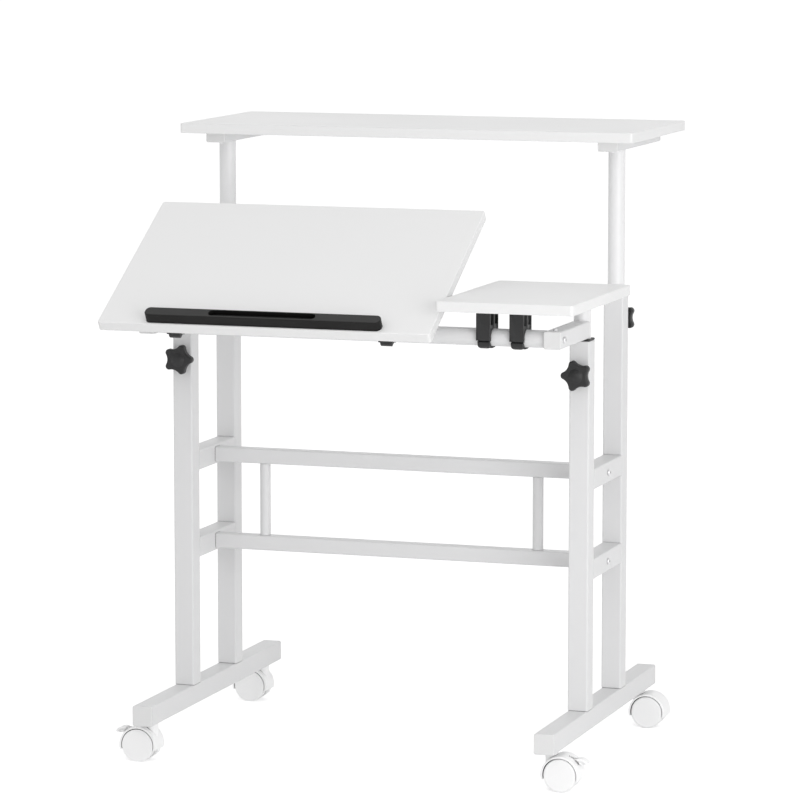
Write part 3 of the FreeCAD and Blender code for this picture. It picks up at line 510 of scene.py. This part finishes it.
def finished_piece(name, mesh, finish, body):
    """Turn a mesh under construction into a piece that rides on a body."""
    bmesh.ops.recalc_face_normals(mesh, faces=mesh.faces)
    data = bpy.data.meshes.new(name)
    mesh.to_mesh(data)
    mesh.free()
    data.materials.append(finish.material)
    piece = bpy.data.objects.new(name, data)
    bpy.context.collection.objects.link(piece)
    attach(piece, body)
    return piece


def copied(node, name, finish, body):
    """A piece with a CAD node's mesh, to be worked on in the node's place."""
    mesh = bmesh.new()
    mesh.from_mesh(frame["nodes"][node].data)
    bmesh.ops.remove_doubles(mesh, verts=mesh.verts, dist=WELD_DISTANCE)
    piece = finished_piece(name, mesh, finish, body)
    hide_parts(node)
    return piece


def combined(piece, mesh, place, operation):
    """Cut a mesh out of a piece, or join it on, for good."""
    data = bpy.data.meshes.new("tool")
    mesh.transform(place)
    mesh.normal_update()
    bmesh.ops.recalc_face_normals(mesh, faces=mesh.faces)
    mesh.to_mesh(data)
    mesh.free()
    tool = bpy.data.objects.new("tool", data)
    bpy.context.collection.objects.link(tool)
    work = piece.modifiers.new("work", "BOOLEAN")
    work.operation = operation
    work.solver = "EXACT"
    work.object = tool
    seen = bpy.context.evaluated_depsgraph_get()
    piece.data = bpy.data.meshes.new_from_object(piece.evaluated_get(seen))
    piece.modifiers.clear()
    piece.data.set_sharp_from_angle(angle=SHARP_ANGLE)
    bpy.data.objects.remove(tool)


# Hooks of the tube clips
def hook_waste(tube_radius, sizes):
    """Side outline of what is cut from before a clip's hook, as (y, z) from the tube's middle."""
    far = CUTTER_REACH * tube_radius
    slit_top = -sizes.skirt
    slit_foot = slit_top - sizes.slit
    inner = tube_radius + sizes.web
    outer = tube_radius + sizes.wall
    slit = [(-math.sqrt(inner ** 2 - z ** 2), z) for z in (slit_top, slit_foot)]
    middle_y, middle_z = sizes.bend - outer, sizes.bend - sizes.foot
    bend = [(middle_y + y, middle_z + z)
            for y, z in arc(sizes.bend, math.pi, 1.5 * math.pi, BEND_STEPS)]
    return [(-far, slit_top), *slit, (-outer, slit_foot), *bend, (middle_y, -far), (-far, -far)]


def corner_waste(spare, sizes):
    """Front outline of what is cut from beside a hook, as (outward, up) from a clip's lower corner."""
    height = sizes.foot - sizes.skirt - sizes.slit / 2
    side = -sizes.inset
    corner = [(side - sizes.corner + x, sizes.corner + z)
              for x, z in arc(sizes.corner, 0, -math.pi / 2, CORNER_STEPS)]
    return [(spare, -spare), (spare, height), (side, height), *corner, (side - sizes.corner, -spare)]


def hooked_clip(node, body, sizes, finish):
    """A clip whose hook bends round the tube below a narrow slit, in place of the CAD's clip."""
    middle, tube_radius = clip_tube()
    slope = board_direction() if body == "tilting_board" else Vector((0, 0, 1))
    turn = Matrix.Rotation(math.atan2(-slope.y, slope.z), 4, "X")
    place = Matrix.Translation((0, middle.y, middle.z)) @ turn
    spare = CUTTER_SPARE * tube_radius
    piece = copied(node, node + "_hooked", finish, body)
    for left, right in widths(node, tube_radius):
        before = prism(hook_waste(tube_radius, sizes), left - spare, right + spare)
        combined(piece, before, place, "DIFFERENCE")
        for edge, sign in ((left, -1), (right, 1)):
            beside = prism(corner_waste(spare, sizes), -CUTTER_REACH * tube_radius, -sizes.inset)
            combined(piece, beside, place @ across(sign, edge, -sizes.foot), "DIFFERENCE")


# Ribs of the brake levers
def lever_rib(sizes):
    """Side outline of the rib under a brake lever's paddle, as (outward, up) from the lever's pin."""
    top = [(sizes.reach + x, z - sizes.drop)
           for x, z in arc(sizes.curve, PADDLE_TIP, PADDLE_CREST, PADDLE_STEPS)]
    back = (sizes.heel - sizes.inset, -sizes.depth / 2)
    heel = (sizes.heel, -sizes.depth)
    toe = (sizes.heel + sizes.depth, -TOE_DROP * sizes.depth)
    return [*top, back, heel, toe]


def ribbed_lever(side, sign, sizes, finish):
    """A brake lever with a rib under its paddle, in place of the CAD's lever."""
    node = side + "_front_brake_lever"
    low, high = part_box(node)
    press = next(joint for joint in frame["joints"] if joint["name"] == side + "_front_brake_press")
    pin_x, _, pin_z = press["pos_m"]
    piece = copied(node, node + "_ribbed", finish, side + "_front_brake")
    rib = prism(lever_rib(sizes), low.y + sizes.inset, high.y - sizes.inset)
    combined(piece, rib, across(sign, pin_x, pin_z), "UNION")


# Socket bolts
def hexagon(width):
    """Outline of a hexagon socket by its width across corners."""
    turns = [turn * math.pi / 3 for turn in range(6)]
    return [Vector((width / 2 * math.cos(turn), width / 2 * math.sin(turn), 0)) for turn in turns]


def bolt_profile(sizes, grip):
    """Half outline of a bolt as (radius, height), from the end of its shank up to its flat crown."""
    head, rise, shank = sizes.head / 2, sizes.rise, sizes.shank / 2
    crown = sizes.head * CROWN_SHARE
    profile = [(shank, -grip), (shank, 0), (head, 0), (head, rise * RIM_SHARE)]
    for step in range(1, DOME_STEPS + 1):
        turn = step / DOME_STEPS * math.pi / 2
        profile.append((crown + (head - crown) * math.cos(turn),
                        rise * (RIM_SHARE + (1 - RIM_SHARE) * math.sin(turn))))
    return profile


def socket_bolt(mesh, place, sizes, grip):
    """Add a round-headed socket bolt to a mesh, its head standing on place's origin along +Z."""
    spokes = [spoke / BOLT_SIDES * 2 * math.pi for spoke in range(BOLT_SIDES)]
    rings = []
    for radius, height in bolt_profile(sizes, grip):
        points = [Vector((radius * math.cos(turn), radius * math.sin(turn), height)) for turn in spokes]
        rings.append([mesh.verts.new(place @ point) for point in points])
    for low, high in zip(rings, rings[1:]):
        for spoke in range(BOLT_SIDES):
            after = (spoke + 1) % BOLT_SIDES
            mesh.faces.new((low[spoke], low[after], high[after], high[spoke])).smooth = True
    mesh.faces.new(list(reversed(rings[0])))
    drive = hexagon(sizes.socket)
    top = Vector((0, 0, sizes.rise))
    bottom = Vector((0, 0, sizes.rise - sizes.socket_depth))
    mouth = [mesh.verts.new(place @ (point + top)) for point in drive]
    floor = [mesh.verts.new(place @ (point * SOCKET_TAPER + bottom)) for point in drive]
    rims = [mesh.edges.new((mouth[step - 1], mouth[step])) for step in range(len(drive))]
    crown = [mesh.edges.get((rings[-1][step - 1], rings[-1][step])) for step in range(BOLT_SIDES)]
    bmesh.ops.bridge_loops(mesh, edges=rims + crown)
    for step in range(len(drive)):
        mesh.faces.new((mouth[step - 1], mouth[step], floor[step], floor[step - 1]))
    mesh.faces.new(floor)


def cross_bar_bolts(sizes, finish):
    """Socket bolts through the side rungs into the cross bars."""
    mesh = bmesh.new()
    for side, sign in SIDES.items():
        for place in ("upper", "lower"):
            low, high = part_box("%s_%s_rung" % (side, place))
            middle = (low + high) / 2
            middle.x = high.x if sign > 0 else low.x
            socket_bolt(mesh, standing(middle, (sign, 0, 0)), sizes, high.x - low.x + sizes.shank)
    piece = finished_piece("cross_bar_socket_bolts", mesh, finish, "base")
    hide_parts("cross_bar_bolts")


def pivot_bolts(sizes, finish):
    """Socket bolts through the side bars into the tube that the clips hang on."""
    mesh = bmesh.new()
    middle, _ = clip_tube()
    for side, sign in SIDES.items():
        bar_low, bar_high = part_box(side + "_side_bar")
        middle.x = bar_high.x if sign > 0 else bar_low.x
        socket_bolt(mesh, standing(middle, (sign, 0, 0)), sizes, bar_high.x - bar_low.x + sizes.shank)
    piece = finished_piece("pivot_socket_bolts", mesh, finish, "desk_carriage")
    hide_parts("pivot_tube_bolts")


# Studio
def soft_light(name, watts, target, width, height, place):
    """A large rectangular light that faces a point."""
    lamp = bpy.data.lights.new(name, "AREA")
    lamp.shape = "RECTANGLE"
    lamp.size = width
    lamp.size_y = height
    lamp.energy = watts
    light = bpy.data.objects.new(name, lamp)
    light.location = place
    light.rotation_euler = (target - Vector(place)).to_track_quat("-Z", "Y").to_euler()
    bpy.context.collection.objects.link(light)


def seen_or_mirrored(tree):
    """A value that is 1 where the camera, a reflection or a refraction looks, and 0 for other light."""
    rays = tree.nodes.new("ShaderNodeLightPath")
    total = rays.outputs["Is Camera Ray"]
    for output in ("Is Glossy Ray", "Is Transmission Ray"):
        add = tree.nodes.new("ShaderNodeMath")
        add.operation = "ADD"
        add.use_clamp = True
        tree.links.new(total, add.inputs[0])
        tree.links.new(rays.outputs[output], add.inputs[1])
        total = add.outputs["Value"]
    return total


def floor_paint(tone):
    """A matt floor that glows where it is looked at from above and is clear from below."""
    material = bpy.data.materials.new("Pale floor")
    material.use_nodes = True
    tree = material.node_tree
    shader = tree.nodes["Principled BSDF"]
    shader.inputs["Base Color"].default_value = (*tone, 1)
    shader.inputs["Roughness"].default_value = 1.0
    shader.inputs["Specular IOR Level"].default_value = 0.0
    glow = tree.nodes.new("ShaderNodeEmission")
    strength = tree.nodes.new("ShaderNodeMath")
    strength.operation = "MULTIPLY"
    strength.inputs[1].default_value = FLOOR_GLOW
    both = tree.nodes.new("ShaderNodeAddShader")
    tree.links.new(seen_or_mirrored(tree), strength.inputs[0])
    tree.links.new(strength.outputs["Value"], glow.inputs["Strength"])
    tree.links.new(shader.outputs["BSDF"], both.inputs[0])
    tree.links.new(glow.outputs["Emission"], both.inputs[1])
    side = tree.nodes.new("ShaderNodeNewGeometry")
    clear = tree.nodes.new("ShaderNodeBsdfTransparent")
    seen = tree.nodes.new("ShaderNodeMixShader")
    tree.links.new(side.outputs["Backfacing"], seen.inputs["Fac"])
    tree.links.new(both.outputs["Shader"], seen.inputs[1])
    tree.links.new(clear.outputs["BSDF"], seen.inputs[2])
    tree.links.new(seen.outputs["Shader"], tree.nodes["Material Output"].inputs["Surface"])
    return material


def pale_floor(tone):
    """A wide floor that looks white and takes the desk's shadow."""
    half = FLOOR_HALF
    corners = [(-half, -half, 0), (half, -half, 0), (half, half, 0), (-half, half, 0)]
    data = bpy.data.meshes.new("floor")
    data.from_pydata(corners, [], [(0, 1, 2, 3)])
    data.materials.append(floor_paint(tone))
    floor = bpy.data.objects.new("floor", data)
    bpy.context.collection.objects.link(floor)


def white_sky(strength):
    """A world that looks white to the camera and lights the desk evenly."""
    world = bpy.data.worlds.new("Studio")
    world.use_nodes = True
    tree = world.node_tree
    background = tree.nodes["Background"]
    background.inputs["Color"].default_value = (1, 1, 1, 1)
    level = map_range(tree, low=0.0, high=1.0, to_low=strength, to_high=1.0)
    tree.links.new(seen_or_mirrored(tree), level.inputs["Value"])
    tree.links.new(level.outputs["Result"], background.inputs["Strength"])
    bpy.context.scene.world = world


def studio_camera(studio):
    """A camera at the desk's front right that looks a little down."""
    data = bpy.data.cameras.new("camera")
    data.lens = studio.camera_lens
    data.clip_end = VIEW_REACH
    camera = bpy.data.objects.new("camera", data)
    camera.location = studio.camera_place
    camera.rotation_euler = (math.pi / 2 - studio.camera_dip, 0, studio.camera_turn)
    bpy.context.collection.objects.link(camera)
    bpy.context.scene.camera = camera


# Operators
class DESK_OT_boards(bpy.types.Operator):
    """Finish the tilting board and the two shelves"""

    bl_idname = "desk.boards"
    bl_label = "Boards"

    def execute(self, context):
        finishes = context.scene.desk_finishes
        flat = laminate("White laminate", finishes.board, finishes.band, (0, 0, 1))
        sloped = laminate("White laminate on the slope", finishes.board, finishes.band, board_direction())
        coat(nodes_of_slot("white_board"), flat)
        coat(["desk_board"], sloped)
        return {"FINISHED"}


class DESK_OT_steelwork(bpy.types.Operator):
    """Finish the tubes, posts, bars and brackets"""

    bl_idname = "desk.steelwork"
    bl_label = "Steelwork"

    def execute(self, context):
        finishes = context.scene.desk_finishes
        coat(nodes_of_slot("white_steel"), powder_coat(finishes.steel))
        posts = [side + place for side in SIDES for place in ("_front_post", "_rear_post")]
        coat(posts, post_paint(finishes.post))
        return {"FINISHED"}


class DESK_OT_black_mouldings(bpy.types.Operator):
    """Finish the knobs, bushings, guides, post caps and stop bar, and make the hooks of the clips"""

    bl_idname = "desk.black_mouldings"
    bl_label = "Black mouldings"

    def execute(self, context):
        finishes = context.scene.desk_finishes
        moulded = black_plastic("Black moulded plastic", finishes.black, shine=0.46)
        coat(nodes_of_slot("black_plastic"), moulded)
        # The stop bar's top takes painted light, a paler black than its sides, and its slot takes painted shade
        lit_top_stop_plastic = black_plastic("Dull black plastic", finishes.stop_lit_top, shine=0.2)
        lit_top_stop_plastic.banded(finishes.stop, board_direction()).painted_crevice_shade(finishes.stop, depth=0.5, reach=0.008)
        coat(["stop_bar"], lit_top_stop_plastic)
        for node, body in CLIPS.items():
            hooked_clip(node, body, context.scene.desk_hooks, moulded)
        return {"FINISHED"}


class DESK_OT_end_caps(bpy.types.Operator):
    """Finish the caps in the ends of the tubes"""

    bl_idname = "desk.end_caps"
    bl_label = "End caps"

    def execute(self, context):
        caps = [name for name in nodes_of_slot("white_plastic") if name.endswith("_caps")]
        tone = context.scene.desk_finishes.cap
        # Painted highlight along the edges, and painted shade in the corners where the caps meet the tubes
        coat(caps, white_plastic("White cap plastic", tone).painted_crevice_shade(tone, depth=0.4))
        return {"FINISHED"}


class DESK_OT_casters(bpy.types.Operator):
    """Finish the caster hoods and wheels, and make the ribs of the brake levers"""

    bl_idname = "desk.casters"
    bl_label = "Casters"

    def execute(self, context):
        finishes = context.scene.desk_finishes
        hoods = [name for name in nodes_of_slot("white_plastic") if not name.endswith("_caps")]
        hood = white_plastic("White hood plastic", finishes.hood)
        # Painted shade in the narrow gap between each hood and its wheel and in the hood's other corners, with a
        # painted highlight along its edges
        hood.painted_crevice_shade(finishes.hood, depth=0.9, reach=0.0018)
        coat(hoods, hood)
        coat(nodes_of_slot("wheel_plastic"), white_plastic("Wheel plastic", finishes.wheel))
        for side, sign in SIDES.items():
            ribbed_lever(side, sign, context.scene.desk_levers, hood)
        return {"FINISHED"}


class DESK_OT_fasteners(bpy.types.Operator):
    """Finish the stems and screws, and make the socket bolts"""

    bl_idname = "desk.fasteners"
    bl_label = "Fasteners"

    def execute(self, context):
        zinc = zinc_plate(context.scene.desk_finishes.zinc)
        coat(nodes_of_slot("zinc_steel"), zinc)
        cross_bar_bolts(context.scene.desk_bolts, zinc)
        pivot_bolts(context.scene.desk_bolts, zinc)
        return {"FINISHED"}


class DESK_OT_stage(bpy.types.Operator):
    """Set up the floor, the lights and the camera"""

    bl_idname = "desk.stage"
    bl_label = "Stage"

    def execute(self, context):
        studio = context.scene.desk_studio
        middle = (Vector(CAD_BOX[0]) + Vector(CAD_BOX[1])) / 2
        pale_floor(studio.floor)
        white_sky(studio.sky)
        for name, lamp in LAMPS.items():
            soft_light(name, getattr(studio, name), middle, **lamp)
        studio_camera(studio)
        context.scene.view_settings.view_transform = "Standard"
        return {"FINISHED"}


STEPS = (DESK_OT_boards, DESK_OT_steelwork, DESK_OT_black_mouldings, DESK_OT_end_caps, DESK_OT_casters,
         DESK_OT_fasteners, DESK_OT_stage)
GROUPS = {"desk_finishes": DeskFinishes, "desk_bolts": DeskBolts, "desk_hooks": DeskHooks,
          "desk_levers": DeskLevers, "desk_studio": DeskStudio}


class DESK_PT_sidebar(bpy.types.Panel):
    """Lists the desk's steps and settings"""

    bl_idname = "DESK_PT_sidebar"
    bl_label = "Rolling desk"
    bl_space_type = "VIEW_3D"
    bl_region_type = "UI"
    bl_category = "Desk"

    def draw(self, context):
        for step in STEPS:
            self.layout.operator(step.bl_idname)
        for name, group in GROUPS.items():
            column = self.layout.column()
            for setting in group.__annotations__:
                column.prop(getattr(context.scene, name), setting)


def register():
    """Add the classes and the scene's settings."""
    for item in (*GROUPS.values(), *STEPS, DESK_PT_sidebar):
        bpy.utils.register_class(item)
    for name, group in GROUPS.items():
        setattr(bpy.types.Scene, name, PointerProperty(type=group))


def unregister():
    """Take the scene's settings and the classes away again."""
    for name in GROUPS:
        delattr(bpy.types.Scene, name)
    for item in reversed((*GROUPS.values(), *STEPS, DESK_PT_sidebar)):
        bpy.utils.unregister_class(item)


def main():
    """Dress the desk step by step."""
    register()
    bpy.ops.desk.boards()
    bpy.ops.desk.steelwork()
    bpy.ops.desk.black_mouldings()
    bpy.ops.desk.end_caps()
    bpy.ops.desk.casters()
    bpy.ops.desk.fasteners()
    bpy.ops.desk.stage()


if __name__ == "__main__":
    main()
